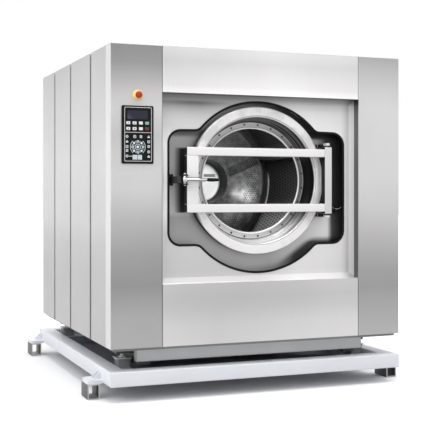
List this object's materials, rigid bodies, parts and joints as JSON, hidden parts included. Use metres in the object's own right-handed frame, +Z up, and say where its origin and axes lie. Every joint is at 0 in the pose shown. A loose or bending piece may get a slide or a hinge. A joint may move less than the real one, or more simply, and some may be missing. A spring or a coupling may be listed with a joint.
{
  "type": "commercial washing machine",
  "caption": "Large front-loading commercial washer with a barred round door in a stainless cabinet on a white base frame with hollow feet.",
  "frame": {"origin": "on the floor, at the centre of the whole machine's plan", "axes": "+X to the right seen from the front, +Y to the back, +Z up; the door faces -Y"},
  "size_m": [2.048, 2.034, 2.03],
  "materials": {
    "white_paint": "smooth enamel with light handling marks",
    "foot_steel": "bare rolled tube, slightly stained",
    "black_rubber": "matt moulded rubber",
    "black_paint": "dark textured coating",
    "grey_paint": "plain grey enamel",
    "brushed_panel": "vertically brushed stainless sheet",
    "tub_steel": "dull brushed stainless plate",
    "polished_steel": "finely ground stainless, nearly polished",
    "drum_steel": "polished stainless with rows of small holes",
    "shaft_steel": "ground steel",
    "bearing_steel": "ground races",
    "bolt_steel": "hexagon socket heads",
    "cast_grey": "painted casting",
    "motor_blue": "blue-grey enamel on a finned frame",
    "belt_rubber": "fabric-backed belt",
    "black_plastic": "matt black",
    "display_glass": "blue-grey display window",
    "yellow_plastic": "yellow legend ring",
    "red_plastic": "red mushroom",
    "white_key": "pale key cap",
    "green_key": "green key cap",
    "red_key": "red key cap",
    "valve_brass": "machined brass with black coils",
    "grey_plastic": "moulded drain parts",
    "window_glass": "flat toughened glass"
  },
  "bodies": {
    "machine": {"base_frame": "white_paint", "foot_brackets": "white_paint", "feet": "foot_steel", "isolators": "black_rubber", "isolator_beams": "black_paint", "under_frame": "black_paint", "front_cross_beam": "grey_paint", "cabinet_frame": "black_paint", "left_front_column": "brushed_panel", "right_front_column": "brushed_panel", "upper_front_panel": "brushed_panel", "lower_front_panel": "brushed_panel", "recess_panel": "brushed_panel", "cutout_edging": "black_rubber", "left_side_panels": "brushed_panel", "right_side_panels": "brushed_panel", "top_panels": "brushed_panel", "rear_panel": "brushed_panel", "tub_shell": "tub_steel", "tub_front_plate": "tub_steel", "tub_back_plate": "tub_steel", "tub_saddles": "black_paint", "door_gasket": "black_rubber", "bearing_housing": "cast_grey", "shaft_bearings": "bearing_steel", "shaft_seal": "black_rubber", "motor": "motor_blue", "motor_base": "black_paint", "drive_belts": "belt_rubber", "hinge_brackets": "tub_steel", "latch_keeper": "tub_steel", "door_switch": "black_plastic", "control_box": "grey_paint", "control_bezel": "black_plastic", "display": "display_glass", "estop_ring": "yellow_plastic", "water_valves": "valve_brass", "drain_line": "grey_plastic"},
    "drum": {"drum_shell": "drum_steel", "drum_back": "drum_steel", "drum_lifters": "drum_steel", "drum_shaft": "shaft_steel", "drum_pulley": "cast_grey"},
    "motor_rotor": {"motor_pulley": "cast_grey"},
    "door": {"door_bars": "polished_steel", "door_ring": "polished_steel", "window_ring": "polished_steel", "door_glass": "window_glass", "window_bolts": "bolt_steel"},
    "latch": {"latch_lever": "polished_steel", "latch_grip": "black_plastic"},
    "emergency_stop": {"estop_button": "red_plastic"},
    "key_1_cap": {"key_1": "white_key"},
    "key_2_cap": {"key_2": "white_key"},
    "key_3_cap": {"key_3": "white_key"},
    "key_4_cap": {"key_4": "green_key"},
    "key_5_cap": {"key_5": "white_key"},
    "key_6_cap": {"key_6": "white_key"},
    "key_7_cap": {"key_7": "white_key"},
    "key_8_cap": {"key_8": "red_key"}
  },
  "joints": [
    {"name": "drum_spin", "type": "hinge", "parent": "machine", "child": "drum", "pos_m": [0, 0, 1.265], "axis": [0, 1, 0], "continuous": true},
    {"name": "motor_spin", "type": "hinge", "parent": "machine", "child": "motor_rotor", "pos_m": [0.47, 0, 0.5], "axis": [0, 1, 0], "continuous": true},
    {"name": "door_hinge", "type": "hinge", "parent": "machine", "child": "door", "pos_m": [0.445, -0.943, 1.265], "axis": [0, 0, 1], "range_deg": [0, 120]},
    {"name": "latch_turn", "type": "hinge", "parent": "door", "child": "latch", "pos_m": [-0.495, -0.993, 1.265], "axis": [0, 0, 1], "range_deg": [-110, 0]},
    {"name": "estop_push", "type": "slide", "parent": "machine", "child": "emergency_stop", "axis": [0, 1, 0], "range_m": [0, 0.005], "stiffness_N_per_m": 3000},
    {"name": "key_1_press", "type": "slide", "parent": "machine", "child": "key_1_cap", "axis": [0, 1, 0], "range_m": [0, 0.0012], "stiffness_N_per_m": 800},
    {"name": "key_2_press", "type": "slide", "parent": "machine", "child": "key_2_cap", "axis": [0, 1, 0], "range_m": [0, 0.0012], "stiffness_N_per_m": 800},
    {"name": "key_3_press", "type": "slide", "parent": "machine", "child": "key_3_cap", "axis": [0, 1, 0], "range_m": [0, 0.0012], "stiffness_N_per_m": 800},
    {"name": "key_4_press", "type": "slide", "parent": "machine", "child": "key_4_cap", "axis": [0, 1, 0], "range_m": [0, 0.0012], "stiffness_N_per_m": 800},
    {"name": "key_5_press", "type": "slide", "parent": "machine", "child": "key_5_cap", "axis": [0, 1, 0], "range_m": [0, 0.0012], "stiffness_N_per_m": 800},
    {"name": "key_6_press", "type": "slide", "parent": "machine", "child": "key_6_cap", "axis": [0, 1, 0], "range_m": [0, 0.0012], "stiffness_N_per_m": 800},
    {"name": "key_7_press", "type": "slide", "parent": "machine", "child": "key_7_cap", "axis": [0, 1, 0], "range_m": [0, 0.0012], "stiffness_N_per_m": 800},
    {"name": "key_8_press", "type": "slide", "parent": "machine", "child": "key_8_cap", "axis": [0, 1, 0], "range_m": [0, 0.0012], "stiffness_N_per_m": 800}
  ],
  "couplings": [
    {"joint": "motor_spin", "follows": "drum_spin", "ratio": 3.6024}
  ]
}
